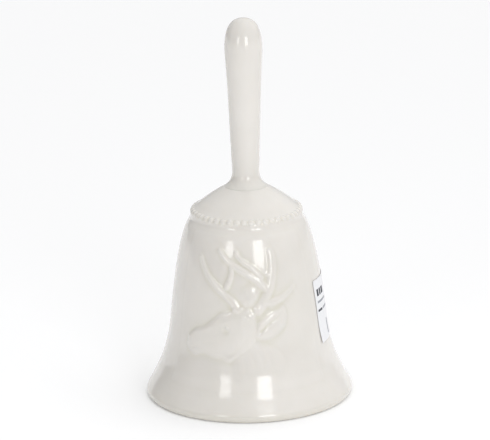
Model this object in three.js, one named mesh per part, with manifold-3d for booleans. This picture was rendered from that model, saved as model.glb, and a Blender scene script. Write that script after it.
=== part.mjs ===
// Porcelain table bell: a slip-cast bell with a beaded shoulder and a moulded stag's head, a long hollow handle luted to
// its top, and a porcelain ball clapper that hangs inside from a cemented eye pin on a short six-link chain.
// Millimetres, +Z up. The origin is the centre of the mouth, on the plane that the rim stands on. -Y is the front, with the stag.
import * as THREE from "three";
import { mergeVertices } from "three/addons/utils/BufferGeometryUtils.js";
import Module from "manifold-3d";

// ---- driving dimensions ------------------------------------------------------------------------------------------
const OVERALL_HEIGHT = 165; // rim plane to the tip of the handle
const SEAT_Z = 92.6; // flat on top of the bell that the handle is luted to
const JOINT_GAP = 0.3; // slip, cement or glue line between pieces that are stuck together
const BORE_R = 3.0; // vent hole in the top of the bell, and the hollow of the handle above it
const ROUND = 48; // facets round the bell

const BEAD_COUNT = 48;
const BEAD_R = 1.25; // radius of one pearl of the beaded ring
const BEAD_RING_R = 22.95;
const BEAD_Z = 82.2;
const BEAD_PHASE_DEG = -2.9;

const RELIEF = 0.9; // how far the stag stands out of the wall

const WIRE_R = 0.6; // chain and pin wire
const EYE_R = 1.9; // eye pin, centre line of the ring
const EYE_BOTTOM_Z = 80.9; // centre line of the wire that the chain hangs on
const LINKS = 6;
const LINK_END_R = 1.7; // centre line of a link's round end
const LINK_STRAIGHT = 4.4; // length of a link's straight side
const HANG_GAP = 0.12; // clearance between two hooked wires

const BALL_R = 8.75;
const BALL_Z = 21; // centre of the clapper ball
const BALL_BORE_R = 0.95;

const LABEL = { from: 62, to: 97, low: 25.8, high: 53.3, gap: 0.28, thick: 0.25 }; // degrees round from the front, mm

// Outside of the bell, [radius, height], from the rim up to the seat.
const OUTER = [
  [42.9, 0], [43.8, 0.45], [44.5, 1.8], [44.4, 3.6], [43.5, 5.6], [42.3, 7.7], [40.0, 11.6], [37.75, 16.4],
  [36.25, 21.2], [34.75, 27], [33.7, 33.8], [32.9, 41.5], [31.8, 50.2], [30.65, 57.9], [29.1, 65.6], [27.6, 71.4],
  [25.85, 76.2], [24.5, 79.4], [23.7, 80.5], [22.4, 81.4], [22.3, 83.0], [20.8, 84.3], [12.8, 89.9], [8.6, 92.2], [7.9, 92.6],
];
// Inside of the bell, from the vent hole down to the rim.
const INNER = [
  [BORE_R, 87.4], [6.5, 86.7], [13.6, 83.6], [18.4, 80.4], [20.9, 77.4], [24.1, 70.3], [27.1, 57.5], [29.3, 41.5],
  [31.2, 26.5], [34.0, 15.7], [37.4, 7.7], [40.4, 1.4], [41.2, 0],
];
// Outside of the handle, from its foot to its tip.
const HANDLE = [
  [8.0, SEAT_Z + JOINT_GAP], [7.75, 93.6], [6.7, 94.9], [5.95, 96.5], [5.75, 98.2], [6.1, 107], [6.79, 125.5], [7.62, 143],
  [8.02, 151.5], [7.86, 155.8], [7.2, 159.2], [6.0, 161.8], [4.3, 163.7], [2.3, 164.7], [0, OVERALL_HEIGHT],
];
const HANDLE_HOLLOW = [[0, 156], [2.6, 155.3], [4.4, 152.5], [4.3, 142], [BORE_R, 104], [BORE_R, SEAT_Z + JOINT_GAP]];

// The stag's head, in degrees round the wall from the front and millimetres up. Antlers are strokes with a width at each end.
const HEAD = [
  [-45.8, 35.1], [-41.2, 37.1], [-34.6, 38.5], [-27.9, 41.5], [-21.6, 44.6], [-15.3, 45.8], [-9.8, 47.8], [-3.2, 48.2], [4.0, 46.4],
  [6.1, 41.6], [10, 33], [18.4, 31], [24.5, 27.1], [26.6, 22.6], [24.9, 18.5], [17, 16.6], [6.6, 16.3], [-3.6, 16.7], [-10.9, 17.8],
  [-12.2, 21], [-13.5, 23.9], [-18.8, 25], [-23.6, 25.4], [-28.6, 26], [-33.2, 26.4], [-40.7, 25.3], [-47.5, 27], [-50.3, 29], [-49.9, 31.1], [-49, 33.3],
];
const EAR = [[4.8, 38.2], [6.1, 40.9], [10.9, 42.8], [16.6, 44.8], [22.5, 46.2], [27.3, 47.4], [29.6, 44.5], [29.4, 41.1], [28.1, 38.1], [23.2, 35.4], [16.8, 33.5], [10.9, 32.8], [5.1, 33.4]];
const ANTLERS = [
  { w: [0.8, 1.6], at: [[-42, 67.1], [-39.5, 64.6], [-36.2, 62.1], [-32, 59.2], [-26.9, 56.4], [-21.5, 54], [-16.1, 51.6], [-11.9, 49.6], [-9.8, 47]] },
  { w: [1.1, 0.9], at: [[-16.9, 55.3], [-15.4, 57.7], [-14, 60.1], [-13.3, 62.4], [-13.6, 64.6]] },
  { w: [1.0, 1.9], at: [[19.6, 70.5], [20.4, 68.8], [20.6, 66.3], [20.4, 63.4], [19.5, 60.1], [17.9, 56.9], [16, 54.1], [13.4, 51], [10.4, 48.4], [6.8, 46.2]] },
  { w: [0.8, 1.5], at: [[-24.5, 70.8], [-21.7, 69.1], [-17.8, 67.1], [-12.9, 65.4], [-7, 63.7], [-1.3, 62], [4.2, 59.9], [9.6, 57.7], [14.8, 55]] },
  { w: [0.7, 1.1], at: [[-9.8, 70.2], [-8.1, 68.7], [-4.5, 66.8], [-0.4, 65.2], [3.6, 63.7], [7.6, 61.7], [10.2, 59.4]] },
  { w: [0.8, 1.4], at: [[37.5, 54], [32.9, 52.5], [26.8, 50.6], [20.4, 49.4], [14.4, 49]] },
];

// ---- helpers -----------------------------------------------------------------------------------------------------
const wasm = await Module();
wasm.setup();

const DEG = Math.PI / 180;

// Turns a closed profile of [radius, height] about the Z axis.
function turned(profile, segments) {
  const points = profile.map(([r, z]) => new THREE.Vector2(r, z));
  return new THREE.LatheGeometry(points, segments).rotateX(Math.PI / 2);
}

function solid(geometry) {
  const g = (geometry.index ? geometry.toNonIndexed() : geometry).clone();
  for (const name of Object.keys(g.attributes)) if (name !== "position") g.deleteAttribute(name);
  const m = mergeVertices(g, 1e-4);
  return new wasm.Manifold(new wasm.Mesh({ numProp: 3, vertProperties: m.attributes.position.array, triVerts: new Uint32Array(m.index.array) }));
}

function geometryOf(manifold) {
  const m = manifold.getMesh();
  const v = new Float32Array(m.numVert * 3);
  for (let i = 0; i < m.numVert; i++) v.set(m.vertProperties.subarray(i * m.numProp, i * m.numProp + 3), i * 3);
  const g = new THREE.BufferGeometry().setAttribute("position", new THREE.BufferAttribute(v, 3)).setIndex(new THREE.BufferAttribute(new Uint32Array(m.triVerts), 1));
  g.computeVertexNormals();
  return g;
}

// Radius of the outside of the bell at a height.
function wallRadius(z) {
  for (let i = 1; i < OUTER.length; i++) {
    const [r0, z0] = OUTER[i - 1], [r1, z1] = OUTER[i];
    if (z <= z1) return r0 + ((r1 - r0) * Math.max(0, z - z0)) / (z1 - z0);
  }
  return OUTER.at(-1)[0];
}

// A point of the front of the bell, as seen square on: x across and z up.
const onFront = ([deg, z]) => new THREE.Vector2(wallRadius(z) * Math.sin(deg * DEG), z);

// A straight-sided slab behind the outline, running from inside the wall out past the front.
function slab(outline) {
  const points = THREE.ShapeUtils.area(outline) < 0 ? outline.slice().reverse() : outline;
  const g = new THREE.ExtrudeGeometry(new THREE.Shape(points), { depth: 45, bevelEnabled: false });
  return g.rotateX(Math.PI / 2).translate(0, -8, 0); // the outline's y becomes z, and its depth runs to -Y
}

// The outline of an antler: a stroke along the points whose half width goes from w[0] to w[1].
function stroke({ w, at }) {
  const curve = new THREE.CatmullRomCurve3(at.map((p) => onFront(p)).map((p) => new THREE.Vector3(p.x, p.y, 0)));
  const n = 6, left = [], right = [];
  for (let i = 0; i <= n; i++) {
    const t = i / n, p = curve.getPoint(t), d = curve.getTangent(t), h = w[0] + (w[1] - w[0]) * t;
    left.push(new THREE.Vector2(p.x - d.y * h, p.y + d.x * h));
    right.push(new THREE.Vector2(p.x + d.y * h, p.y - d.x * h));
  }
  const tip = curve.getPoint(0), back = curve.getTangent(0);
  return [new THREE.Vector2(tip.x - back.x * w[0], tip.y - back.y * w[0]), ...left, ...right.reverse()];
}

function mesh(name, geometry, material) {
  const m = new THREE.Mesh(geometry, material);
  m.name = name;
  return m;
}

// ---- materials ---------------------------------------------------------------------------------------------------
const glaze = new THREE.MeshStandardMaterial({ name: "porcelain_glaze", color: 0xe6e2d9, roughness: 0.12, metalness: 0 });
const cement = new THREE.MeshStandardMaterial({ name: "cement", color: 0xd8d3c8, roughness: 0.9, metalness: 0 });
const wire = new THREE.MeshStandardMaterial({ name: "plated_wire", color: 0xc9c7c2, roughness: 0.25, metalness: 1 });
const paper = new THREE.MeshStandardMaterial({ name: "label_paper", color: 0xf2f2f4, roughness: 0.7, metalness: 0 });

const bell = new THREE.Group();

// ---- the bell itself: wall, beads and stag -----------------------------------------------------------------------
{
  const wall = solid(turned([...OUTER, [BORE_R, SEAT_Z], ...INNER, OUTER[0]], ROUND));
  const beads = [];
  for (let i = 0; i < BEAD_COUNT; i++) {
    const a = (BEAD_PHASE_DEG + (360 / BEAD_COUNT) * i) * DEG;
    const g = new THREE.SphereGeometry(BEAD_R, 7, 4);
    beads.push(solid(g.rotateX(Math.PI / 2).rotateZ(a).translate(BEAD_RING_R * Math.sin(a), -BEAD_RING_R * Math.cos(a), BEAD_Z)));
  }
  // A skin that follows the wall, from inside it to the top of the relief.
  const low = OUTER.findIndex(([, z]) => z > 13), high = OUTER.findIndex(([, z]) => z > 76);
  const band = OUTER.slice(low, high + 1);
  const skin = solid(turned([...band.map(([r, z]) => [r + RELIEF, z]), ...band.slice().reverse().map(([r, z]) => [r - 1.2, z]), [band[0][0] + RELIEF, band[0][1]]], ROUND));
  const outlines = [HEAD.map(onFront), EAR.map(onFront), ...ANTLERS.map(stroke)];
  const stag = outlines.map((o) => solid(slab(o))).reduce((a, b) => a.add(b)).intersect(skin);
  const all = wasm.Manifold.union([wall, stag, ...beads]);
  bell.add(mesh("bell_shell", geometryOf(all), glaze));
}

// ---- handle ------------------------------------------------------------------------------------------------------
{
  const profile = [[BORE_R, SEAT_Z + JOINT_GAP], ...HANDLE];
  const g = turned([...profile, ...HANDLE_HOLLOW], 28);
  bell.add(mesh("handle", g, glaze));
}

// ---- cement plug, with the hole that its eye pin is set in --------------------------------------------------------
{
  const r = BORE_R - JOINT_GAP, hole = WIRE_R + JOINT_GAP;
  bell.add(
    mesh("anchor_plug", turned([[hole, 85.7], [2.2, 85.5], [3.9, 85.7], [4.9, 86.1], [5.3, 86.6], [r, 87.1], [r, 98.5], [2.2, 99.2], [hole, 99.3], [hole, 85.7]], 20), cement),
  );
}

// ---- eye pin: a ring across X with a straight shank up through the plug -------------------------------------------
{
  const ring = new THREE.TorusGeometry(EYE_R, WIRE_R, 8, 20).rotateX(Math.PI / 2).translate(0, 0, EYE_BOTTOM_Z + EYE_R);
  const top = EYE_BOTTOM_Z + 2 * EYE_R;
  const shank = new THREE.CylinderGeometry(WIRE_R, WIRE_R, 98 - top, 10).rotateX(Math.PI / 2).translate(0, 0, (98 + top) / 2);
  bell.add(mesh("anchor_eye", geometryOf(solid(ring).add(solid(shank))), wire));
}

// ---- chain -------------------------------------------------------------------------------------------------------
// A link in the YZ plane, with the centre line of its top end at the origin. It is a closed loop, so its tube has no ends.
class LinkCurve extends THREE.Curve {
  getPoint(t, target = new THREE.Vector3()) {
    const arc = Math.PI * LINK_END_R, whole = 2 * arc + 2 * LINK_STRAIGHT;
    let s = (t % 1) * whole;
    const R = LINK_END_R, L = LINK_STRAIGHT;
    if (s < arc) return target.set(0, R * Math.cos(s / R), R * Math.sin(s / R) - R);
    s -= arc;
    if (s < L) return target.set(0, -R, -R - s);
    s -= L;
    if (s < arc) return target.set(0, -R * Math.cos(s / R), -R - L - R * Math.sin(s / R));
    return target.set(0, R, -R - L + (s - arc));
  }
}
const hook = 2 * WIRE_R + HANG_GAP; // height of a hooked wire's centre line above the one it hangs on
const pitch = LINK_STRAIGHT + 2 * LINK_END_R - hook;
for (let i = 0; i < LINKS; i++) {
  const g = new THREE.TubeGeometry(new LinkCurve(), 22, WIRE_R, 6, true);
  const link = mesh(`chain_link_${i + 1}`, g, wire);
  link.position.z = EYE_BOTTOM_Z - pitch * i + hook;
  link.rotation.z = i % 2 ? Math.PI / 2 : 0;
  bell.add(link);
}

// ---- clapper: an eye wire with a button head, and the ball that sits on the head -----------------------------------
{
  const top = EYE_BOTTOM_Z - pitch * LINKS + hook; // centre line of the top of the clapper's eye
  const eye = new THREE.TorusGeometry(LINK_END_R, WIRE_R, 8, 18).rotateX(Math.PI / 2).rotateZ(Math.PI / 2).translate(0, 0, top - LINK_END_R);
  const headTop = BALL_Z - BALL_R + 0.15 - JOINT_GAP;
  const shankTop = top - 2 * LINK_END_R;
  const shank = new THREE.CylinderGeometry(WIRE_R, WIRE_R, shankTop - headTop + 0.5, 10).rotateX(Math.PI / 2).translate(0, 0, (shankTop + headTop - 0.5) / 2);
  const head = turned([[0, headTop - 1.0], [1.2, headTop - 0.9], [1.7, headTop - 0.5], [1.7, headTop], [0, headTop]], 16);
  bell.add(mesh("clapper_wire", geometryOf(solid(eye).add(solid(shank)).add(solid(head))), wire));

  const profile = [];
  const edge = Math.asin(2.0 / BALL_R), n = 11;
  for (let i = 0; i <= n; i++) {
    const a = -Math.PI / 2 + edge + ((Math.PI - 2 * edge) * i) / n;
    profile.push([BALL_R * Math.cos(a), BALL_Z + BALL_R * Math.sin(a)]);
  }
  const low = BALL_Z - BALL_R + 0.25, high = BALL_Z + BALL_R - 0.25;
  bell.add(mesh("clapper_ball", turned([[BALL_BORE_R, low], ...profile, [BALL_BORE_R, high], [BALL_BORE_R, low]], 24), glaze));
}

// ---- paper label, bent round the right-hand side --------------------------------------------------------------------
{
  const g = new THREE.BoxGeometry(1, 1, 1, 7, 1, 5);
  const p = g.attributes.position;
  for (let i = 0; i < p.count; i++) {
    const z = LABEL.low + (p.getZ(i) + 0.5) * (LABEL.high - LABEL.low);
    const a = (LABEL.from + (p.getX(i) + 0.5) * (LABEL.to - LABEL.from)) * DEG;
    const r = wallRadius(z) + LABEL.gap + (0.5 - p.getY(i)) * LABEL.thick; // the box's -Y side is the printed one
    p.setXYZ(i, r * Math.sin(a), -r * Math.cos(a), z);
  }
  bell.add(mesh("price_label", g, paper));
}

export default bell;
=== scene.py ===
"""Porcelain table bell: the glazed shell with its beads and stag's head, the handle, the clapper on its chain, and the label.
Shapes are worked out in millimetres and built in metres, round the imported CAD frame."""
import math

import bpy
import numpy as np
from mathutils import Matrix, Vector


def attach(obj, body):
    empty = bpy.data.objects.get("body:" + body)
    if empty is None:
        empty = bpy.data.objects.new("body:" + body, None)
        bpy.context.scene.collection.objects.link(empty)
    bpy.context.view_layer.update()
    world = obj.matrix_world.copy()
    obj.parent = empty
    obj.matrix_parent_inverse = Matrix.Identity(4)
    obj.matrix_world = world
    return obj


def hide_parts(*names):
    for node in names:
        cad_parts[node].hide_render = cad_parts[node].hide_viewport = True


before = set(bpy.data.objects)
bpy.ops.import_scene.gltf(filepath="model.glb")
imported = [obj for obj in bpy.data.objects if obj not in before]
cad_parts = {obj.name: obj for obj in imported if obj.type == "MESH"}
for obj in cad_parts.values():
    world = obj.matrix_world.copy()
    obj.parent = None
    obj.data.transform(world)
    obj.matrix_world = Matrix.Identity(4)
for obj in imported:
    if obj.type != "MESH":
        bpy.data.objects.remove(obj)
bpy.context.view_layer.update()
MM = 0.001


# ---- curves and grids --------------------------------------------------------------------------------------------
def spline(points, step):
    """A smooth centripetal curve through the points, resampled about every step."""
    p = np.array(points, float)
    p = np.vstack([2 * p[0] - p[1], p, 2 * p[-1] - p[-2]])
    out = []
    for i in range(1, len(p) - 2):
        p0, p1, p2, p3 = p[i - 1], p[i], p[i + 1], p[i + 2]
        t = [0.0]
        for a, b in ((p0, p1), (p1, p2), (p2, p3)):
            t.append(t[-1] + max(np.linalg.norm(b - a), 1e-6) ** 0.5)
        n = max(int(math.ceil(np.linalg.norm(p2 - p1) / step)), 1)
        for k in range(n):
            u = t[1] + (t[2] - t[1]) * k / n
            a1 = (t[1] - u) / (t[1] - t[0]) * p0 + (u - t[0]) / (t[1] - t[0]) * p1
            a2 = (t[2] - u) / (t[2] - t[1]) * p1 + (u - t[1]) / (t[2] - t[1]) * p2
            a3 = (t[3] - u) / (t[3] - t[2]) * p2 + (u - t[2]) / (t[3] - t[2]) * p3
            b1 = (t[2] - u) / (t[2] - t[0]) * a1 + (u - t[0]) / (t[2] - t[0]) * a2
            b2 = (t[3] - u) / (t[3] - t[1]) * a2 + (u - t[1]) / (t[3] - t[1]) * a3
            out.append((t[2] - u) / (t[2] - t[1]) * b1 + (u - t[1]) / (t[2] - t[1]) * b2)
    out.append(p[-2])
    return np.array(out)


def smooth(t):
    t = np.clip(t, 0, 1)
    return t * t * (3 - 2 * t)


def around(r, phi, z):
    """A point at a radius, an angle from the front in radians, and a height."""
    return np.stack([r * np.sin(phi), -r * np.cos(phi), z + 0 * r], -1)


def grid_mesh(name, points, wrap_rows=False, wrap_cols=True, caps=False):
    """A mesh of quads over points[row, column], in millimetres. Columns run round, rows run along.
    caps: the first and last rows each close on one point, the mean of their row."""
    rows, cols = points.shape[:2]
    verts = points.reshape(-1, 3)
    r = np.arange(rows if wrap_rows else rows - 1)
    c = np.arange(cols if wrap_cols else cols - 1)
    R, C = np.meshgrid(r, c, indexing="ij")
    R2, C2 = (R + 1) % rows, (C + 1) % cols
    quads = np.stack([R * cols + C, R * cols + C2, R2 * cols + C2, R2 * cols + C], -1).reshape(-1, 4)
    faces = [tuple(q) for q in quads.tolist()]
    if caps:
        n = len(verts)
        verts = np.vstack([verts, points[0].mean(0), points[-1].mean(0)])
        last = (rows - 1) * cols
        for k in range(cols):
            k2 = (k + 1) % cols
            faces.append((k2, k, n))
            faces.append((last + k, last + k2, n + 1))
    me = bpy.data.meshes.new(name)
    me.from_pydata((verts * MM).tolist(), [], faces)
    me.validate()
    me.update()
    return me


def volume(me):
    me.calc_loop_triangles()
    t = np.zeros(len(me.loop_triangles) * 3, int)
    me.loop_triangles.foreach_get("vertices", t)
    co = np.zeros(len(me.vertices) * 3)
    me.vertices.foreach_get("co", co)
    a, b, c = (co.reshape(-1, 3)[t.reshape(-1, 3)[:, k]] for k in range(3))
    return float(np.einsum("ij,ij->i", a, np.cross(b, c)).sum() / 6)


def piece(name, me, body, replaces, slot, *materials, flat=False):
    """Adds a mesh as a piece of the object, with its faces out."""
    if volume(me) < 0:
        me.flip_normals()
    ob = bpy.data.objects.new(name, me)
    bpy.context.scene.collection.objects.link(ob)
    for m in materials:
        me.materials.append(m)
    if not flat:
        me.shade_smooth()
    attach(ob, body)
    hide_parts(*replaces)
    return ob


def point_values(me, name, values):
    a = me.attributes.new(name, "FLOAT", "POINT")
    a.data.foreach_set("value", np.asarray(values, np.float32).ravel())


# ---- smooth pseudo-random fields, the same every run --------------------------------------------------------------
class Waves:
    """A sum of sine waves through space, of about one size, from -1 to 1."""

    def __init__(self, seed, size, count=14):
        rng = np.random.default_rng(seed)
        d = rng.normal(size=(count, 3))
        d /= np.linalg.norm(d, axis=1)[:, None]
        self.k = d * (2 * np.pi / (size * rng.uniform(0.75, 1.4, count)))[:, None]
        self.p = rng.uniform(0, 2 * np.pi, count)
        self.n = count

    def __call__(self, p):
        return np.sin(p @ self.k.T + self.p).sum(-1) * (1.6 / self.n ** 0.5) / 2.2


# ---- the outside of the bell ---------------------------------------------------------------------------------------
RIM_IN, RIM_OUT = 41.2, 42.9
LIP = [(42.9, 0), (43.4, 0.1), (43.9, 0.42), (44.28, 1.0), (44.46, 1.7), (44.5, 2.2), (44.46, 2.68), (44.33, 3.1), (43.87, 3.95), (43.33, 4.95), (42.8, 5.95), (41.87, 7.7)]
WALL = LIP + [
    (40.87, 9.6), (39.92, 11.6), (38.82, 14.0), (37.75, 16.4), (36.95, 18.8), (36.25, 21.2), (35.45, 24), (34.75, 27),
    (34.15, 30.4), (33.7, 33.8), (33.3, 37.6), (32.9, 41.5), (32.4, 45.8), (31.8, 50.2), (31.3, 54), (30.65, 57.9),
    (29.95, 61.7), (29.1, 65.6), (28.4, 68.5), (27.6, 71.4), (26.75, 73.8), (26.1, 75.5), (25.3, 77.1), (24.55, 78.45),
    (24.2, 79.2), (24.06, 79.9),
]
DOME = [(24.0, 80.5), (23.85, 81.2), (23.5, 81.95), (22.9, 82.62), (22.0, 83.3), (20.8, 84.2), (19.4, 85.4), (17.2, 87.0), (15.2, 88.4), (12.8, 89.95), (10.6, 91.25), (9.0, 92.12), (8.3, 92.5), (7.6, 92.6)]
INNER = [
    (3.0, 92.6), (3.0, 87.9), (3.4, 87.4), (6.5, 86.7), (10, 85.4), (13.6, 83.6), (16.2, 82.0), (18.4, 80.4), (20.9, 77.4), (22.6, 74.1),
    (24.1, 70.3), (25.7, 64.4), (27.1, 57.5), (28.3, 49.5), (29.3, 41.5), (30.1, 34), (31.2, 26.5), (32.4, 20.9), (34.0, 15.7),
    (35.6, 11.5), (37.4, 7.7), (39.2, 4.3), (40.3, 1.9), (40.75, 0.7), (41.2, 0),
]
BEADS, BEAD_R, BEAD_HEIGHT, BEAD_AT, BEAD_PHASE = 48, 1.46, 0.47, (23.42, 82.05), math.radians(-2.9)

wall = spline(WALL, 0.32)
wall_z, wall_r = wall[:, 1], wall[:, 0]


def radius_at(z):
    return np.interp(z, wall_z[wall_z.argsort()], wall_r[wall_z.argsort()])


# ---- the stag's head: a height over the wall, in millimetres -------------------------------------------------------
HEAD = [(-45.83, 35.14), (-41.18, 37.09), (-34.61, 38.47), (-27.91, 41.46), (-21.56, 44.61), (-15.31, 45.75), (-9.84, 47.76), (-3.18, 48.17), (3.95, 46.39), (6.09, 41.56), (7.58, 36.37), (5.06, 32.34), (-0.18, 29.06), (-6.93, 26.37), (-13.54, 23.91), (-18.77, 25.0), (-23.55, 25.38), (-28.59, 26.0), (-33.23, 26.42), (-40.67, 25.29), (-47.47, 26.97), (-50.27, 28.99), (-49.92, 31.11), (-49.02, 33.32)]
EAR = [(4.76, 38.17), (6.06, 40.88), (10.92, 42.75), (16.6, 44.84), (22.46, 46.15), (27.31, 47.45), (29.6, 44.5), (29.44, 41.08), (28.05, 38.1), (23.2, 35.43), (16.84, 33.5), (10.87, 32.81), (5.11, 33.37), (2.31, 35.14)]
NECK = [(-13.54, 23.91), (-12.22, 21.03), (-10.94, 17.83), (-3.61, 16.66), (6.65, 16.34), (17.22, 16.56), (24.94, 18.5), (26.6, 22.61), (24.54, 27.13), (18.4, 31.0), (10.91, 33.49), (4, 37), (-6, 36), (-12, 30)]
ANTLERS = [  # (half width at the first point, at the last), height at the first, at the last, points
    ((0.95, 1.6), (0.48, 0.80), [(-41.98, 67.12), (-39.45, 64.63), (-36.24, 62.06), (-31.96, 59.16), (-26.86, 56.44), (-21.52, 54.0), (-16.06, 51.61), (-11.93, 49.62), (-9.23, 47.56)]),
    ((1.15, 0.95), (0.62, 0.55), [(-16.87, 55.81), (-15.35, 57.74), (-13.99, 60.08), (-13.29, 62.38), (-13.66, 64.23)]),
    ((0.95, 1.45), (0.55, 0.80), [(-24.53, 70.78), (-21.66, 69.08), (-17.78, 67.06), (-12.89, 65.36), (-6.99, 63.73), (-1.31, 61.96), (4.2, 59.93), (9.62, 57.69), (14.16, 55.2)]),
    ((0.85, 1.1), (0.55, 0.62), [(-9.75, 70.23), (-8.12, 68.71), (-4.53, 66.82), (-0.4, 65.17), (3.63, 63.67), (7.55, 61.72), (10.21, 59.76)]),
    ((1.3, 2.0), (0.55, 0.90), [(19.63, 70.46), (20.42, 68.78), (20.59, 66.3), (20.36, 63.42), (19.51, 60.14), (17.85, 56.89), (16.03, 54.05), (13.36, 51.01), (10.43, 48.38), (7.25, 46.39)]),
    ((0.95, 1.5), (0.55, 0.78), [(37.51, 53.98), (32.9, 52.53), (26.79, 50.61), (20.36, 49.4), (14.36, 49.05)]),
]


def flat_map(phi, z):
    """Square-on coordinates on the wall, in millimetres: along the wall, and up."""
    return np.stack([phi * radius_at(z), z], -1)


def deg_map(points):
    p = np.array(points, float)
    return flat_map(np.radians(p[:, 0]), p[:, 1])


def to_segments(q, path):
    """Distance from each q to a path, and how far along the path the nearest point is, from 0 to 1."""
    a, b = path[:-1], path[1:]
    lengths = np.linalg.norm(b - a, axis=1)
    start = np.concatenate([[0], np.cumsum(lengths)[:-1]])
    best = np.full(len(q), 1e9)
    along = np.zeros(len(q))
    side = np.zeros(len(q))
    for i in range(len(a)):
        d = b[i] - a[i]
        t = np.clip(((q - a[i]) @ d) / (d @ d + 1e-12), 0, 1)
        v = q - a[i] - t[:, None] * d
        dist = np.hypot(v[:, 0], v[:, 1])
        nearer = dist < best
        best[nearer] = dist[nearer]
        along[nearer] = (start[i] + t[nearer] * lengths[i])
        side[nearer] = np.sign(d[0] * v[nearer, 1] - d[1] * v[nearer, 0])
    return best, along / max(lengths.sum(), 1e-9), side


def inside_distance(q, polygon):
    """Distance into a closed outline: positive inside."""
    p = np.vstack([polygon, polygon[:1]])
    d, _, _ = to_segments(q, p)
    inside = np.zeros(len(q), bool)
    x, y = q[:, 0], q[:, 1]
    for (x0, y0), (x1, y1) in zip(p[:-1], p[1:]):
        cross = ((y0 > y) != (y1 > y)) & (x < (x1 - x0) * (y - y0) / (y1 - y0 + 1e-12) + x0)
        inside ^= cross
    return np.where(inside, d, -d)


def round_outline(points):
    p = deg_map(points)
    return spline(np.vstack([p, p[:1]]), 0.8)[:-1]


def dome_up(d, width, height):
    """Height over an edge that rises softly over a width, from its distance inside."""
    return height * smooth(d / width) ** 0.85


def blob(q, at, rx, ry, turn=0.0):
    """1 at a point, falling softly to 0 at an ellipse round it."""
    c = deg_map([at])[0]
    v = q - c
    s, k = math.sin(turn), math.cos(turn)
    u, w = (v[:, 0] * k + v[:, 1] * s) / rx, (-v[:, 0] * s + v[:, 1] * k) / ry
    return smooth(1 - np.sqrt(u * u + w * w))


def groove(q, points, width, depth_from, depth_to):
    path = spline(deg_map(points), 0.6)
    d, t, _ = to_segments(q, path)
    ends = smooth(t / 0.15) * smooth((1 - t) / 0.15) * 0.85 + 0.15
    return np.exp(-((d / width) ** 2)) * (depth_from + (depth_to - depth_from) * t) * ends


def soft_max(a, b, k):
    h = np.clip(0.5 + 0.5 * (a - b) / k, 0, 1)
    return b * (1 - h) + a * h + k * h * (1 - h)


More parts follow.
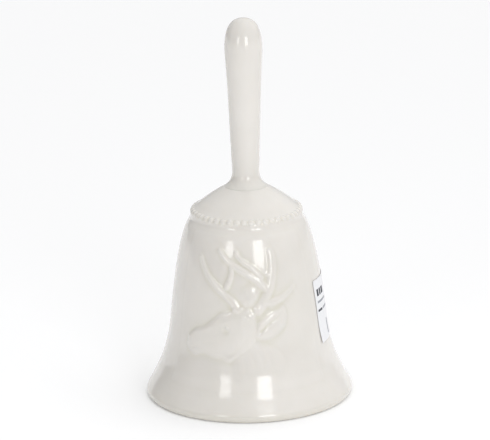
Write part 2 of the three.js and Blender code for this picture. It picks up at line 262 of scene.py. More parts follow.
def stag(phi, z):
    """Height of the stag's head over the wall at each point, in millimetres."""
    shape = phi.shape
    phi, z = phi.ravel(), z.ravel()
    out = np.zeros(len(phi))
    near = (phi > math.radians(-62)) & (phi < math.radians(54)) & (z > 12) & (z < 77)
    q = flat_map(phi[near], z[near])
    zz = z[near]

    # head: a soft-edged plane, fullest along the cheek
    d = inside_distance(q, round_outline(HEAD))
    head = dome_up(d + 0.6, 2.3, 0.58) + 0.26 * smooth(d / 7.5)
    # neck: starts level with the cheek and sinks away into the wall
    dn = inside_distance(q, round_outline(NECK))
    fade = smooth((zz - 15.6) / 12.0)
    neck = dome_up(dn + 0.4, 4.2, 0.50) * fade
    h = soft_max(head, neck, 0.22)

    # ear
    de = inside_distance(q, round_outline(EAR))
    ear = dome_up(de + 0.5, 2.3, 0.70) + 0.12 * smooth(de / 4)
    h = soft_max(h, ear, 0.12)

    # the crown's tuft, between the antlers
    h = soft_max(h, 0.50 * blob(q, (0.0, 50.6), 6.4, 7.4) ** 0.8, 0.12)
    for at, rx, ry in (((-4.6, 52.3), 1.6, 2.4), ((-1.2, 54.0), 1.5, 2.5), ((2.4, 54.3), 1.5, 2.4), ((5.2, 51.9), 1.4, 2.2), ((-2.6, 49.9), 1.5, 2.0), ((1.6, 50.4), 1.6, 2.1)):
        h += 0.11 * blob(q, at, rx, ry, 0.2)

    # antlers: broad round ridges that sink softly into the wall
    for (w0, w1), (h0, h1), points in ANTLERS:
        path = spline(deg_map(points), 0.7)
        dist, t, side = to_segments(q, path)
        half = w0 + (w1 - w0) * t
        top = h0 + (h1 - h0) * t
        x = dist / (half * 1.5)
        ridge = top * np.clip(1 - x * x, 0, 1) ** 1.35
        h = soft_max(h, ridge, 0.10)
        h = h - 0.05 * np.exp(-(((dist - half * 1.7) / 0.6) ** 2)) * smooth(t / 0.1)
    h += 0.30 * blob(q, (15.65, 60.78), 1.2, 1.2)

    # the ground between the antlers, which was modelled by hand and isn't quite even
    mask = smooth(2.2 * (1 - np.sqrt(((q[:, 0] + 2.0) / 19.0) ** 2 + ((zz - 60.0) / 15.5) ** 2)))
    ground = np.stack([q[:, 0], 0 * zz, zz], -1)
    h += (Waves(43, 5.5)(ground) * 0.050 + Waves(44, 2.6)(ground) * 0.012) * mask

    # burrs, the knobbly rings at the antlers' bases
    for at in ((-10.7, 46.7), (-5.5, 47.0), (-8.2, 46.2), (-3.3, 43.2), (3.8, 43.9), (7.3, 46.6), (-0.2, 45.9), (0.6, 43.5)):
        h += 0.36 * blob(q, at, 1.5, 1.15)

    # brow and eye
    h += 0.16 * blob(q, (-17.0, 41.2), 4.6, 1.8, 0.45)
    h -= 0.26 * blob(q, (-16.4, 37.0), 2.6, 1.9, 0.35)
    h += 0.36 * blob(q, (-16.0, 38.6), 1.3, 1.5, 0.3)
    h += groove(q, [(-20.5, 38.0), (-18.2, 39.8), (-14.8, 40.1), (-12.0, 38.6)], 0.45, 0.08, 0.05)
    h -= groove(q, [(-21.5, 36.9), (-24.5, 35.2), (-27.0, 34.0)], 0.8, 0.07, 0.02)
    # nose bone, cheek and jaw
    h += 0.10 * blob(q, (-30.5, 37.6), 6.5, 1.5, 0.4)
    h -= 0.10 * blob(q, (-29.0, 32.0), 6.5, 2.2, 0.12)
    h += 0.14 * blob(q, (-8.5, 32.5), 6.5, 5.2, 0.3)
    h -= groove(q, [(-19.0, 26.6), (-14.0, 27.3), (-9.0, 29.0), (-3.5, 32.0), (0.0, 36.0)], 1.1, 0.11, 0.05)
    # muzzle: nostril, mouth and chin
    h += 0.12 * blob(q, (-44.8, 31.2), 3.6, 3.2, 0)
    h -= 0.18 * blob(q, (-46.3, 31.6), 1.3, 0.9, 0.5)
    h -= groove(q, [(-49.6, 29.3), (-46.0, 28.5), (-42.0, 28.7), (-37.5, 29.3)], 0.5, 0.16, 0.07)
    h += 0.07 * blob(q, (-43.0, 27.2), 2.8, 1.0, 0)
    # inside of the ear
    h -= groove(q, [(7.2, 35.9), (10.5, 38.1), (15.2, 40.3), (20.5, 42.2), (25.0, 44.2)], 0.65, 0.48, 0.22)
    h -= 0.14 * blob(q, (14.5, 38.6), 5.5, 1.5, 0.36)
    h += groove(q, [(6.8, 34.6), (12, 36.0), (18, 37.9), (24, 40.2), (28, 43)], 0.6, 0.05, 0.06)
    # the neck's coat: tufts that run down and back
    for k, points in enumerate([
        [(-9, 24.5), (-8, 21.5), (-8.5, 18.5)], [(-4, 26.5), (-2.5, 22.5), (-2.5, 18.2)], [(1, 28.5), (3.5, 24), (4, 18.6)],
        [(5.5, 30.0), (9, 25.5), (10, 19.6)], [(10, 31.2), (14, 26.8), (15.5, 20.6)], [(14.8, 30.5), (19, 26.4), (21, 21.4)],
    ]):
        h -= groove(q, points, 0.8, 0.07, 0.02)
    out[near] = np.maximum(h, -0.10)
    return out.reshape(shape)


# ---- shell -----------------------------------------------------------------------------------------------------------
def columns(fine_from, fine_to, fine, coarse):
    """Angles round the bell: fine in front and coarser behind, with no jump at the back."""
    a = np.linspace(fine_from, fine_to, int(round((fine_to - fine_from) / fine)) + 1)
    rest = 360 - (fine_to - fine_from)
    b = fine_to + np.arange(1, int(round(rest / coarse))) * rest / int(round(rest / coarse))
    return np.radians(np.concatenate([a, b]))


def shell_mesh():
    phi = columns(-58.0, 50.0, 0.6, 1.145455)
    cols = len(phi)
    # the wall's rows are close over the relief and sparser elsewhere
    keep, last = [], None
    for i, (r, z) in enumerate(wall):
        gap = 0.42 if 14 < z < 76 else 0.34 if z < 9 or z > 76 else 0.6
        if last is None or np.hypot(*(wall[i] - last)) >= gap * 0.98 or i == len(wall) - 1:
            keep.append(wall[i])
            last = wall[i]
    w = np.array(keep)
    rows = [around(np.full(cols, r), phi, z) for r, z in w]
    dome = spline(DOME, 0.24)
    step = np.hypot(*np.diff(dome, axis=0).T)
    sparse = [i for i in range(len(dome)) if dome[i, 1] < 84.3 or i % 3 == 0 or i == len(dome) - 1]
    along = np.concatenate([[0], np.cumsum(step)])[sparse]
    dome = dome[sparse]
    rows += [around(np.full(cols, r), phi, z) for r, z in dome]
    inner = spline(INNER[2:], 2.8)
    for r, z in [INNER[0], INNER[1]] + inner.tolist():
        rows.append(around(np.full(cols, r), phi, z))
    rows.append(around(np.full(cols, 42.0), phi, 0.0))
    p = np.array(rows)
    n_wall = len(w)

    # the wall's own normals, for the relief and the slight unevenness of cast ware
    d = np.gradient(w, axis=0)
    nr, nz = d[:, 1], -d[:, 0]
    length = np.hypot(nr, nz)
    nr, nz = nr / length, nz / length
    height = stag(np.tile(phi, (n_wall, 1)), np.tile(w[:, 1][:, None], (1, cols)))
    uneven = Waves(3, 46)(p[:n_wall]) * 0.05 + Waves(5, 17)(p[:n_wall]) * 0.018
    uneven *= smooth(w[:, 1] / 5)[:, None] * smooth((79.5 - w[:, 1]) / 6)[:, None]
    push = height + uneven
    p[:n_wall, :, 0] += push * nr[:, None] * np.sin(phi)
    p[:n_wall, :, 1] -= push * nr[:, None] * np.cos(phi)
    p[:n_wall, :, 2] += push * nz[:, None]

    # the beads: a ring of pearls raised on the shoulder
    dd = np.gradient(dome, axis=0)
    dr, dz = dd[:, 1], -dd[:, 0]
    length = np.hypot(dr, dz)
    dr, dz = dr / length, dz / length
    pitch = 2 * math.pi / BEADS
    s = (np.mod(phi - BEAD_PHASE + pitch / 2, pitch) - pitch / 2) * BEAD_AT[0]
    centre = along[np.hypot(dome[:, 0] - BEAD_AT[0], dome[:, 1] - BEAD_AT[1]).argmin()]
    reach = np.hypot(s[None, :], (along - centre)[:, None]) / BEAD_R
    bead = BEAD_HEIGHT * np.clip(1 - reach ** 2, 0, 1) ** 0.72
    k = n_wall + len(dome)
    p[n_wall:k, :, 0] += bead * dr[:, None] * np.sin(phi)
    p[n_wall:k, :, 1] -= bead * dr[:, None] * np.cos(phi)
    p[n_wall:k, :, 2] += bead * dz[:, None]

    me = grid_mesh("bell_shell_glazed", p, wrap_rows=True)
    # bare: where the glaze is wiped off, on the ring that it stands on
    q = p.reshape(-1, 3)
    r = np.hypot(q[:, 0], q[:, 1])
    bare = smooth((0.55 - q[:, 2]) / 0.35) * smooth((r - 40.6) / 0.4)
    point_values(me, "bare", bare)
    # darker, greener mask: the glaze lying thick in hollows and against edges, and painted shade in those hollows,
    # between the beads, in the crease at the handle's foot and along the foot of the lip
    glaze_pool_and_shade = np.zeros(p.shape[:2])
    # the relief's hollows and the feet of its ridges: thick glaze, and painted shade along its outlines and grooves
    for shift in (2, 5):
        blur = (np.roll(height, shift, 1) + np.roll(height, -shift, 1) + np.roll(height, shift, 0) + np.roll(height, -shift, 0)) / 4
        glaze_pool_and_shade[:n_wall] += np.clip((blur - height) * 1.8, 0, 1)
    zw = w[:, 1]
    # a darker band along the foot of the lip: painted contact shade where the bell stands
    glaze_pool_and_shade[:n_wall] += (0.45 * np.exp(-(((zw - 0.8) / 2.4) ** 2)))[:, None]
    # the gaps between the beads: thick glaze, and painted shade
    edge = np.exp(-(((reach - 1.02) / 0.16) ** 2)) * (np.abs(s) > 0.5 * BEAD_R)[None, :]
    glaze_pool_and_shade[n_wall:k] += 0.5 * edge
    # the crease round the handle's foot: thick glaze, and painted shade
    glaze_pool_and_shade[n_wall:k] += (0.12 * np.exp(-(((dome[:, 0] - 9.1) / 0.5) ** 2)))[:, None]
    point_values(me, "glaze_pool_and_shade", np.clip(glaze_pool_and_shade, 0, 1))
    return me


# ---- materials ---------------------------------------------------------------------------------------------------------
def material(name):
    m = bpy.data.materials.new(name)
    m.use_nodes = True
    nt = m.node_tree
    nt.nodes.clear()
    out = nt.nodes.new("ShaderNodeOutputMaterial")
    bsdf = nt.nodes.new("ShaderNodeBsdfPrincipled")
    nt.links.new(bsdf.outputs[0], out.inputs[0])
    return m, nt, bsdf


def node(nt, kind, **values):
    n = nt.nodes.new(kind)
    for k, v in values.items():
        if hasattr(n, k) and not k[0].isupper():
            setattr(n, k, v)
        else:
            n.inputs[k.replace("_", " ")].default_value = v
    return n


def object_coords(nt):
    return node(nt, "ShaderNodeTexCoord").outputs["Object"]


def noise(nt, coords, scale, detail=3.0, rough=0.5):
    n = node(nt, "ShaderNodeTexNoise")
    n.inputs["Scale"].default_value = scale
    n.inputs["Detail"].default_value = detail
    n.inputs["Roughness"].default_value = rough
    nt.links.new(coords, n.inputs["Vector"])
    return n.outputs["Fac"]


def ramp(nt, value, *stops):
    n = node(nt, "ShaderNodeValToRGB")
    e = n.color_ramp.elements
    while len(e) < len(stops):
        e.new(0.5)
    for el, (at, colour) in zip(e, stops):
        el.position = at
        el.color = (*colour, 1) if len(colour) == 3 else colour
    nt.links.new(value, n.inputs["Fac"])
    return n.outputs["Color"]


def remap(nt, value, a, b, c, d):
    n = node(nt, "ShaderNodeMapRange")
    for i, v in zip(range(1, 5), (a, b, c, d)):
        n.inputs[i].default_value = v
    nt.links.new(value, n.inputs[0])
    return n.outputs[0]


def mix(nt, fac, a, b, blend="MIX"):
    n = node(nt, "ShaderNodeMix")
    n.data_type = "RGBA"
    n.blend_type = blend
    for value, k in ((fac, 0), (a, 6), (b, 7)):
        if isinstance(value, bpy.types.NodeSocket):
            nt.links.new(value, n.inputs[k])
        else:
            n.inputs[k].default_value = value if k == 0 else (*value, 1)
    return n.outputs[2]


def math_node(nt, op, a, b=None):
    n = node(nt, "ShaderNodeMath")
    n.operation = op
    for value, k in ((a, 0), (b, 1)):
        if value is None:
            continue
        if isinstance(value, bpy.types.NodeSocket):
            nt.links.new(value, n.inputs[k])
        else:
            n.inputs[k].default_value = value
    return n.outputs[0]


def attribute(nt, name):
    n = node(nt, "ShaderNodeAttribute")
    n.attribute_name = name
    return n.outputs["Fac"]


def bump(nt, bsdf, height, strength, distance):
    n = node(nt, "ShaderNodeBump")
    n.inputs["Strength"].default_value = strength
    n.inputs["Distance"].default_value = distance
    nt.links.new(height, n.inputs["Height"])
    nt.links.new(n.outputs[0], bsdf.inputs["Normal"])
    return n


def porcelain(name, bare=False, tone=(0.752, 0.724, 0.686)):
    """Clear gloss glaze over a warm white body: faint clouding, darker and greener where the glaze pools thick and
    where shade is painted into hollows, creases and the lip's foot, a few iron specks.
    """
    m, nt, b = material(name)
    xyz = object_coords(nt)
    cloud = noise(nt, xyz, 28.0, 4.0, 0.55)
    light = tuple(min(1, c * 1.035) for c in tone)
    dark = (tone[0] * 0.955, tone[1] * 0.955, tone[2] * 0.94)
    colour = ramp(nt, cloud, (0.3, dark), (0.7, light))
    glaze_pool_and_shade = attribute(nt, "glaze_pool_and_shade")
    # darker and greener where the glaze lies thick, and painted shade in hollows, creases, bead gaps and along the
    # lip's foot
    colour = mix(nt, math_node(nt, "MULTIPLY", glaze_pool_and_shade, 0.55), colour, (tone[0] * 0.86, tone[1] * 0.865, tone[2] * 0.74))
    voro = node(nt, "ShaderNodeTexVoronoi")
    voro.inputs["Scale"].default_value = 62.0
    nt.links.new(xyz, voro.inputs["Vector"])
    speck = remap(nt, voro.outputs["Distance"], 0.018, 0.034, 1.0, 0.0)
    pick = remap(nt, noise(nt, xyz, 41.0, 1.0), 0.66, 0.70, 0.0, 1.0)
    colour = mix(nt, math_node(nt, "MULTIPLY", math_node(nt, "MULTIPLY", speck, pick), 0.55), colour, (0.36, 0.27, 0.18))
    b.inputs["IOR"].default_value = 1.5
    b.inputs["Coat Roughness"].default_value = 0.025
    b.inputs["Coat IOR"].default_value = 1.5
    b.inputs["Subsurface Weight"].default_value = 0.12
    b.inputs["Subsurface Radius"].default_value = (0.0028, 0.0024, 0.0019)
    b.inputs["Subsurface Scale"].default_value = 1.0
    if bare:
        bare_ring_mask = attribute(nt, "bare")
        # the bare ring is coloured darker than the glaze: dirt on the unglazed foot, and painted contact shade under
        # the lip
        bare_ring_dirt_and_shade = ramp(nt, noise(nt, xyz, 260.0, 4.0, 0.6), (0.30, (0.665, 0.64, 0.59)), (0.66, (0.735, 0.715, 0.67)))
        colour = mix(nt, bare_ring_mask, colour, bare_ring_dirt_and_shade)
        rough = remap(nt, bare_ring_mask, 0.0, 1.0, 0.16, 0.78)
        nt.links.new(rough, b.inputs["Roughness"])
        nt.links.new(remap(nt, bare_ring_mask, 0.0, 0.6, 0.35, 0.0), b.inputs["Coat Weight"])
    else:
        rough = remap(nt, noise(nt, xyz, 90.0, 3.0), 0.3, 0.7, 0.13, 0.18)
        nt.links.new(rough, b.inputs["Roughness"])
        b.inputs["Coat Weight"].default_value = 0.35
    nt.links.new(colour, b.inputs["Base Color"])
    # the glaze's faint skin
    skin = math_node(nt, "ADD", noise(nt, xyz, 260.0, 2.0), math_node(nt, "MULTIPLY", noise(nt, xyz, 900.0, 2.0), 0.25))
    bump(nt, b, skin, 0.06, 0.0006)
    return m


def cement():
    m, nt, b = material("cement_set")
    xyz = object_coords(nt)
    n = noise(nt, xyz, 900.0, 5.0, 0.62)
    nt.links.new(ramp(nt, n, (0.3, (0.50, 0.47, 0.41)), (0.55, (0.66, 0.63, 0.56)), (0.75, (0.73, 0.70, 0.64))), b.inputs["Base Color"])
    nt.links.new(remap(nt, n, 0.3, 0.7, 0.95, 0.82), b.inputs["Roughness"])
    bump(nt, b, n, 0.5, 0.0003)
    return m


def plated_wire():
    m, nt, b = material("nickel_plated_wire")
    xyz = object_coords(nt)
    b.inputs["Metallic"].default_value = 1.0
    dull = noise(nt, xyz, 520.0, 4.0, 0.6)
    spots = remap(nt, noise(nt, xyz, 1500.0, 2.0), 0.60, 0.72, 0.0, 1.0)
    colour = ramp(nt, dull, (0.3, (0.50, 0.48, 0.44)), (0.65, (0.66, 0.645, 0.61)))
    nt.links.new(mix(nt, math_node(nt, "MULTIPLY", spots, 0.5), colour, (0.30, 0.26, 0.20)), b.inputs["Base Color"])
    nt.links.new(remap(nt, dull, 0.3, 0.7, 0.34, 0.20), b.inputs["Roughness"])
    # fine draw marks along the wire
    bump(nt, b, noise(nt, xyz, 2400.0, 2.0), 0.12, 0.00008)
    return m


def paper(name, base, vary):
    m, nt, b = material(name)
    xyz = object_coords(nt)
    fibre = noise(nt, xyz, 1700.0, 4.0, 0.6)
    low, high = tuple(c * (1 - vary) for c in base), tuple(min(1, c * (1 + vary)) for c in base)
    nt.links.new(ramp(nt, fibre, (0.3, low), (0.7, high)), b.inputs["Base Color"])
    nt.links.new(remap(nt, fibre, 0.3, 0.7, 0.50, 0.62), b.inputs["Roughness"])
    b.inputs["Specular IOR Level"].default_value = 0.35
    bump(nt, b, fibre, 0.12, 0.00005)
    return m


GLAZE = porcelain("porcelain_glaze_shell", bare=True)
GLAZE_HANDLE = porcelain("porcelain_glaze_handle")
GLAZE_BALL = porcelain("porcelain_glaze_clapper")
CEMENT = cement()
WIRE = plated_wire()
PAPER = paper("label_paper", (0.86, 0.865, 0.885), 0.02)
INK = paper("label_ink_dark", (0.045, 0.05, 0.065), 0.2)
INK_GREY = paper("label_ink_grey", (0.36, 0.375, 0.41), 0.1)

piece("bell_shell_glazed", shell_mesh(), "bell", ["bell_shell"], "porcelain", GLAZE)


# ---- handle -------------------------------------------------------------------------------------------------------------
def handle_mesh():
    outer = spline([
        (3.0, 92.68), (6.4, 92.68), (7.6, 92.66), (8.3, 92.40), (8.95, 92.0), (9.12, 92.0), (9.1, 92.14), (8.9, 92.36), (8.52, 92.66), (8.05, 93.04), (7.5, 93.6), (7.02, 94.25), (6.62, 94.98), (6.26, 95.8), (5.96, 96.7), (5.78, 97.8),
        (5.76, 99.4), (5.88, 101.5), (6.04, 106.2), (6.41, 115.8), (6.79, 125.5), (7.18, 135.1), (7.62, 143.5), (7.92, 148.6),
        (8.02, 152.2), (7.9, 155.2), (7.52, 157.8), (6.9, 160.0), (6.05, 161.8), (5.0, 163.15), (3.7, 164.15), (2.3, 164.75), (0.9, 165.0),
    ], 0.5)
    bore = spline([(0.5, 156), (2.6, 155.3), (4.2, 153), (4.4, 150), (4.2, 142), (3.0, 104), (3.0, 100)], 3.0)
    prof = np.vstack([bore, outer])
    phi = np.linspace(0, 2 * np.pi, 128, endpoint=False)
    p = np.array([around(np.full(len(phi), r), phi, z) for r, z in prof])
    n = len(bore)
    q = p[n:]
    lump = Waves(11, 34)(q) * 0.07 + Waves(12, 13)(q) * 0.02
    lump *= smooth((prof[n:, 1] - 95) / 6)[:, None]
    out = np.stack([np.sin(phi), -np.cos(phi)], -1)
    q[:, :, 0] += lump * out[:, 0]
    q[:, :, 1] += lump * out[:, 1]
    me = grid_mesh("handle_glazed", p, caps=True)
    z = np.append(p[:, :, 2].ravel(), [156, 165])
    # the crease at the handle's foot, and darker towards the foot: thick glaze and painted shade
    point_values(me, "glaze_pool_and_shade", 0.16 * np.exp(-(((z - 92.6) / 1.1) ** 2)) + 0.10 * smooth((100 - z) / 5))
    return me


piece("handle_glazed", handle_mesh(), "bell", ["handle"], "porcelain", GLAZE_HANDLE)


# ---- wire work -------------------------------------------------------------------------------------------------------------
def tube(path, radius, sides=16, closed=False, vary=None):
    """Points [row, side] of a round tube along a path, with no twist."""
    path = np.array(path, float)
    n = len(path)
    nxt = np.roll(path, -1, 0) if closed else np.vstack([path[1:], 2 * path[-1] - path[-2]])
    prv = np.roll(path, 1, 0) if closed else np.vstack([2 * path[0] - path[1], path[:-1]])
    tan = nxt - prv
    tan /= np.linalg.norm(tan, axis=1)[:, None]
    # the paths here each lie in one plane, so its normal is a steady reference
    normal = np.cross(tan[0], tan[min(n // 3, n - 1)])
    if np.linalg.norm(normal) < 1e-6:
        normal = np.cross(tan[0], [1.0, 0, 0] if abs(tan[0][0]) < 0.9 else [0, 1.0, 0])
    normal /= np.linalg.norm(normal)
    side = np.cross(normal, tan)
    side /= np.linalg.norm(side, axis=1)[:, None]
    a = np.linspace(0, 2 * np.pi, sides, endpoint=False)
    r = np.full(n, radius) if vary is None else radius * vary
    return path[:, None, :] + r[:, None, None] * (np.cos(a)[None, :, None] * side[:, None, :] + np.sin(a)[None, :, None] * normal[None, None, :])


def joined(*parts):
    """One mesh from several."""
    import bmesh
    bm = bmesh.new()
    for me in parts:
        if volume(me) < 0:
            me.flip_normals()
        bm.from_mesh(me)
    me = bpy.data.meshes.new(parts[0].name + "_all")
    bm.to_mesh(me)
    bm.free()
    return me


WIRE_R, EYE_R, EYE_BOTTOM, END_R, STRAIGHT, GAP = 0.6, 1.9, 80.9, 1.7, 4.4, 0.12
HOOK = 2 * WIRE_R + GAP
PITCH = STRAIGHT + 2 * END_R - HOOK


def link_path(n_end=18, n_side=9):
    """A link's centre line, in the plane across Y, with its top end at the origin."""
    pts = []
    for k in range(n_end):
        a = math.pi * k / n_end
        pts.append((0, END_R * math.cos(a), END_R * math.sin(a) - END_R))
    for k in range(n_side):
        pts.append((0, -END_R, -END_R - STRAIGHT * k / n_side))
    for k in range(n_end):
        a = math.pi * k / n_end
        pts.append((0, -END_R * math.cos(a), -END_R - STRAIGHT - END_R * math.sin(a)))
    for k in range(n_side):
        pts.append((0, END_R, -END_R - STRAIGHT + STRAIGHT * k / n_side))
    return np.array(pts)


for i in range(6):
    path = link_path()
    # each link is closed by a butt joint half way up one side: two cut ends that nearly meet
    vary = np.ones(len(path))
    cut = len(path) - 5
    vary[cut] = 0.84
    vary[cut - 1] = vary[(cut + 1) % len(path)] = 1.0
    extra = []
    for k, pt in enumerate(path):
        extra.append(pt)
        if k in (cut - 1, cut):
            extra.append((path[k] + path[(k + 1) % len(path)]) / 2)
    path = np.array(extra)
    vary = np.ones(len(path))
    mid = cut + 1
    vary[mid] = 0.80
    # bring the rows beside the cut close to it, so that it is a fine line
    path[mid - 1] = path[mid] - (path[mid] - path[mid - 2]) * 0.05
    path[mid + 1] = path[mid] + (path[mid + 2] - path[mid]) * 0.05
    top = EYE_BOTTOM - PITCH * i + HOOK
    if i % 2:
        path = np.stack([-path[:, 1], path[:, 0], path[:, 2]], 1)
    path = path + np.array([0, 0, top])
    me = grid_mesh(f"chain_link_wire_{i + 1}", tube(path, WIRE_R, 16, True, vary), wrap_rows=True)
    piece(f"chain_link_wire_{i + 1}", me, f"link_{i + 1}", [f"chain_link_{i + 1}"], "wire", WIRE)


def ring_and_shank(name, centre_z, radius, shank_end, across_x, up):
    """A closed round eye whose wire then bends in to the axis and runs straight to shank_end."""
    sgn = 1 if up else -1
    # ring: from just beside the shank, all the way round, and then a short S-bend on to the axis
    pts = []
    n = 46
    a0, a1 = math.radians(90 - 34), math.radians(90 - 360 + 8)
    for k in range(n + 1):
        a = a0 + (a1 - a0) * k / n
        pts.append((radius * math.cos(a), sgn * radius * math.sin(a)))
    x, z = pts[-1]
    for x2, z2 in ((x * 0.62 - 0.02, sgn * (radius + 0.18)), (x * 0.2, sgn * (radius + 0.62)), (0, sgn * (radius + 1.2))):
        pts.append((x2, z2))
    steps = max(int(abs(shank_end - centre_z - sgn * (radius + 1.2)) / 0.8), 2)
    z0 = sgn * (radius + 1.2)
    for k in range(1, steps + 1):
        pts.append((0, z0 + (shank_end - centre_z - z0) * k / steps))
    pts = spline(pts, 0.28)
    path = np.stack([pts[:, 0], 0 * pts[:, 0], pts[:, 1] + centre_z], 1)
    if not across_x:
        path = np.stack([path[:, 1], path[:, 0], path[:, 2]], 1)
    return grid_mesh(name, tube(path, WIRE_R, 16), caps=True)


eye = ring_and_shank("anchor_eye_wire", EYE_BOTTOM + EYE_R, EYE_R, 97.5, True, True)
piece("anchor_eye_wire", eye, "bell", ["anchor_eye"], "wire", WIRE)

clap_top = EYE_BOTTOM - PITCH * 6 + HOOK
BALL_R, BALL_Z = 8.75, 21.0
head_top = BALL_Z - BALL_R + 0.15 - 0.3
wire_part = ring_and_shank("clapper_wire_eye", clap_top - END_R, END_R, head_top - 0.4, False, False)
a = np.linspace(0, 2 * np.pi, 32, endpoint=False)
head_prof = spline([(0.15, head_top - 1.02), (0.7, head_top - 1.0), (1.25, head_top - 0.86), (1.62, head_top - 0.5), (1.68, head_top - 0.2), (1.55, head_top - 0.02), (0.9, head_top), (0.15, head_top)], 0.15)
head = grid_mesh("clapper_wire_head", np.array([around(np.full(32, r) * (1 + 0.03 * np.sin(3 * a + 1)), a, z) for r, z in head_prof]), caps=True)
piece("clapper_wire_bent", joined(wire_part, head), "clapper", ["clapper_wire"], "wire", WIRE)


def ball_mesh():
    edge = math.asin(2.0 / BALL_R)
    t = np.linspace(-math.pi / 2 + edge, math.pi / 2 - edge, 72)
    outer = [(BALL_R * math.cos(x), BALL_Z + BALL_R * math.sin(x)) for x in t]
    top, bottom = BALL_Z + BALL_R, BALL_Z - BALL_R
    # the hole's mouths are rolled over, with the glaze run in to them
    mouth_top = spline([outer[-1], (1.55, top - 0.19), (1.2, top - 0.34), (1.0, top - 0.75), (0.95, top - 1.4)], 0.16)[1:]
    mouth_low = spline([(0.95, bottom + 1.4), (1.0, bottom + 0.75), (1.2, bottom + 0.34), (1.55, bottom + 0.19), outer[0]], 0.16)[:-1]
    core = [(0.95, z) for z in np.linspace(top - 1.4, bottom + 1.4, 8)[1:-1]]
    prof = np.array(list(map(tuple, outer)) + list(map(tuple, mouth_top)) + core + list(map(tuple, mouth_low)))
    phi = np.linspace(0, 2 * np.pi, 128, endpoint=False)
    p = np.array([around(np.full(len(phi), r), phi, z) for r, z in prof])
    v = p - np.array([0, 0, BALL_Z])
    out_rows = np.arange(len(prof)) < len(outer)
    lump = Waves(21, 9)(p) * 0.06 + Waves(22, 4)(p) * 0.015
    # the mould's seam, fettled nearly flat
    seam = 0.035 * np.exp(-(((p[:, :, 0]) / 0.35) ** 2))
    push = (lump + seam) * out_rows[:, None] * smooth((np.hypot(p[:, :, 0], p[:, :, 1]) - 2) / 1.5)
    p = p + push[:, :, None] * v / np.linalg.norm(v, axis=-1)[:, :, None]
    me = grid_mesh("clapper_ball_glazed", p, wrap_rows=True)
    r = np.hypot(p[:, :, 0], p[:, :, 1])
    point_values(me, "glaze_pool_and_shade", 0.8 * np.exp(-(((r - 1.6) / 0.6) ** 2)))
    return me


piece("clapper_ball_glazed", ball_mesh(), "clapper", ["clapper_ball"], "porcelain", GLAZE_BALL)


# ---- cement plug ----------------------------------------------------------------------------------------------------------
def plug_mesh():
    prof = spline([
        (0.72, 85.95), (1.0, 85.45), (1.7, 85.22), (2.7, 85.35), (3.7, 85.62), (4.6, 85.95), (5.15, 86.35), (5.28, 86.68), (4.9, 86.9), (3.6, 87.15), (2.75, 87.5), (2.7, 89), (2.7, 98.2), (2.2, 99.1), (0.9, 99.3),
    ], 0.32)
    bore = [(0.72, z) for z in np.linspace(99.1, 86.3, 16)]
    prof = np.vstack([prof, bore])
    phi = np.linspace(0, 2 * np.pi, 72, endpoint=False)
    p = np.array([around(np.full(len(phi), r), phi, z) for r, z in prof])
    low = smooth((87.2 - prof[:, 1]) / 0.8)[:, None] * (np.hypot(p[:, :, 0], p[:, :, 1]) > 0.9)
    # pressed in by hand: a lumpy edge and finger-smoothed face, always a little inside the plain shape
    squeeze = (Waves(31, 5)(p) * 0.5 + Waves(32, 1.8)(p) * 0.25 - 0.6) * 0.42 * low
    r = np.hypot(p[:, :, 0], p[:, :, 1])
    scale = 1 + squeeze / np.maximum(r, 1.5)
    p[:, :, 0] *= scale
    p[:, :, 1] *= scale
    p[:, :, 2] -= (Waves(33, 3.0)(p) * 0.16 + Waves(34, 1.1)(p) * 0.07) * low * smooth((r - 0.9) / 0.8)
    return grid_mesh("anchor_plug_cement", p, wrap_rows=True)


piece("anchor_plug_cement", plug_mesh(), "bell", ["anchor_plug"], "cement", CEMENT)


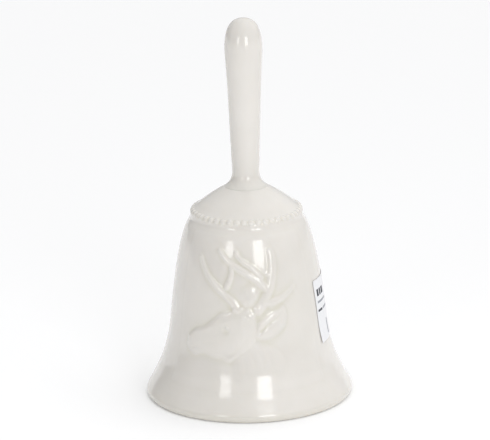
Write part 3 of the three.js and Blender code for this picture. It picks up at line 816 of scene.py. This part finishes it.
# ---- label -----------------------------------------------------------------------------------------------------------------
def label_piece():
    """Thin paper bent round the wall, with its print as plain blocks and bars. u runs round, from its left edge, and v runs up, from 0 to 1."""
    low, high = 25.85, 53.3
    # print: (u from, u to, v from, v to, 1 dark or 2 grey)
    marks = [
        (0.10, 0.20, 0.735, 0.845, 1), (0.235, 0.325, 0.735, 0.845, 1), (0.36, 0.50, 0.735, 0.845, 1),
        (0.09, 0.60, 0.622, 0.658, 2),
        (0.07, 0.30, 0.487, 0.524, 1), (0.34, 0.64, 0.487, 0.524, 2),
        (0.47, 0.56, 0.055, 0.30, 2),
    ]
    us = sorted({0.0, 0.012, 1.0, 0.988} | {x for m in marks for x in m[:2]} | set(np.linspace(0.05, 0.95, 30)))
    vs = sorted({0.0, 0.012, 1.0, 0.988} | {x for m in marks for x in m[2:4]} | set(np.linspace(0.05, 0.95, 26)))
    us = np.array([u for i, u in enumerate(us) if i == 0 or u - us[i - 1] > 1e-6])
    vs = np.array([v for i, v in enumerate(vs) if i == 0 or v - vs[i - 1] > 1e-6])
    U, V = np.meshgrid(us, vs)
    ang = np.radians(63.1 - 2.3 * V + U * 35.0)
    z = low + V * (high - low)
    # rounded corners
    cu, cv = np.minimum(U, 1 - U) * 21.0, np.minimum(V, 1 - V) * 27.1
    # stuck flat, with its lower left corner and left edge just lifting
    lift = 0.30 * smooth(1 - cu / 3.0) * smooth(1 - V * 27.1 / 9.0) * (U < 0.5) + 0.10 * smooth(1 - cu / 1.4) * (U < 0.5) + 0.05 * smooth(1 - cv / 1.0)
    crease = 0.03 * np.sin(V * 9 + 1) * np.sin(U * 7 + 0.4)
    base = radius_at(z) + 0.10 + lift + crease * 0.6 + 0.02
    thick = 0.11
    front, back = around(base + thick, ang, z), around(base, ang, z)
    rows, cols = U.shape
    verts = np.vstack([front.reshape(-1, 3), back.reshape(-1, 3)])
    n = rows * cols
    faces, kinds = [], []
    for i in range(rows - 1):
        for j in range(cols - 1):
            a, b, c, d = i * cols + j, i * cols + j + 1, (i + 1) * cols + j + 1, (i + 1) * cols + j
            uu, vv = (us[j] + us[j + 1]) / 2, (vs[i] + vs[i + 1]) / 2
            kind = 0
            for u0, u1, v0, v1, k in marks:
                if u0 < uu < u1 and v0 < vv < v1:
                    kind = k
            faces.append((a, b, c, d)); kinds.append(kind)
            faces.append((n + a, n + d, n + c, n + b)); kinds.append(0)
    for j in range(cols - 1):
        faces.append((j, n + j, n + j + 1, j + 1)); kinds.append(0)
        t = (rows - 1) * cols
        faces.append((t + j, t + j + 1, n + t + j + 1, n + t + j)); kinds.append(0)
    for i in range(rows - 1):
        a, b = i * cols, (i + 1) * cols
        faces.append((a, b, n + b, n + a)); kinds.append(0)
        a, b = i * cols + cols - 1, (i + 1) * cols + cols - 1
        faces.append((a, n + a, n + b, b)); kinds.append(0)
    me = bpy.data.meshes.new("price_label_printed")
    me.from_pydata((verts * MM).tolist(), [], faces)
    me.update()
    ob = piece("price_label_printed", me, "bell", ["price_label"], "paper", PAPER, INK, INK_GREY)
    me.polygons.foreach_set("material_index", np.array(kinds, np.int32))
    me.set_sharp_from_angle(angle=math.radians(40))
    return ob


label_piece()


# ---- floor, light and camera ---------------------------------------------------------------------------------------------
def stage_floor(glow):
    me = bpy.data.meshes.new("floor")
    s = 3.0
    me.from_pydata([(-s, -s, 0), (s, -s, 0), (s, s, 0), (-s, s, 0)], [], [(0, 1, 2, 3)])
    ob = bpy.data.objects.new("floor", me)
    bpy.context.scene.collection.objects.link(ob)
    m, nt, b = material("floor_white")
    b.inputs["Base Color"].default_value = (0.975, 0.978, 0.985, 1)
    b.inputs["Roughness"].default_value = 0.6
    b.inputs["Emission Color"].default_value = (1, 1, 1, 1)
    b.inputs["Emission Strength"].default_value = glow
    me.materials.append(m)


def softbox(name, at, facing, width, height, power, colour=(1, 1, 1)):
    """A rectangular light, placed in millimetres and turned to face a point."""
    light = bpy.data.lights.new(name, "AREA")
    light.shape = "RECTANGLE"
    light.size, light.size_y = width * MM, height * MM
    light.energy = power
    light.color = colour
    ob = bpy.data.objects.new(name, light)
    bpy.context.scene.collection.objects.link(ob)
    ob.location = Vector(at) * MM
    ob.rotation_euler = ((Vector(at) - Vector(facing)) * MM).to_track_quat("Z", "Y").to_euler()
    return ob


def studio_world(level, above, right, left, behind):
    """An even white tent whose strength changes slowly with direction."""
    world = bpy.data.worlds.new("studio")
    bpy.context.scene.world = world
    world.use_nodes = True
    nt = world.node_tree
    background = nt.nodes["Background"]
    background.inputs["Color"].default_value = (1.0, 1.0, 1.0, 1)
    split = nt.nodes.new("ShaderNodeSeparateXYZ")
    nt.links.new(node(nt, "ShaderNodeTexCoord").outputs["Generated"], split.inputs[0])
    x, y, z = split.outputs
    total = level
    for value, sign, amount in ((z, 1, above), (x, 1, right), (x, -1, left), (y, 1, behind)):
        part = math_node(nt, "MULTIPLY", math_node(nt, "MAXIMUM", math_node(nt, "MULTIPLY", value, float(sign)), 0.0), amount)
        total = math_node(nt, "ADD", part, total)
    nt.links.new(math_node(nt, "MAXIMUM", total, 0.0), background.inputs["Strength"])


stage_floor(0.03)
softbox("window_right", (150, -438, 205), (40, 0, 160), 150, 170, 0.44)
softbox("window_left", (-262, -438, 209), (-56, 0, 164), 118, 138, 0.23)
studio_world(0.02, 1.18, 0.41, -0.17, 0.42)

# the view the photo has, from 16 degrees up
ELEVATION, ROLL, DISTANCE, FOCAL_PX = math.radians(16.003), math.radians(1.0533), 1.2391, 2891.8
cam = bpy.data.cameras.new("camera")
cam.sensor_fit = "HORIZONTAL"
cam.sensor_width = 36.0
cam.lens = FOCAL_PX / 490 * 36.0
cam.clip_end = 20
camera = bpy.data.objects.new("camera", cam)
bpy.context.scene.collection.objects.link(camera)
back = Vector((0, -math.cos(ELEVATION), math.sin(ELEVATION)))
camera.location = Vector((-0.000694, 0, 0.07668)) + back * DISTANCE
right, up = Vector((1, 0, 0)), Vector((0, math.sin(ELEVATION), math.cos(ELEVATION)))
cr, sr = math.cos(ROLL), math.sin(ROLL)
x_axis, y_axis = right * cr - up * sr, right * sr + up * cr
camera.rotation_euler = Matrix((x_axis, y_axis, back)).transposed().to_euler()
bpy.context.scene.camera = camera
bpy.context.scene.view_settings.view_transform = "Standard"
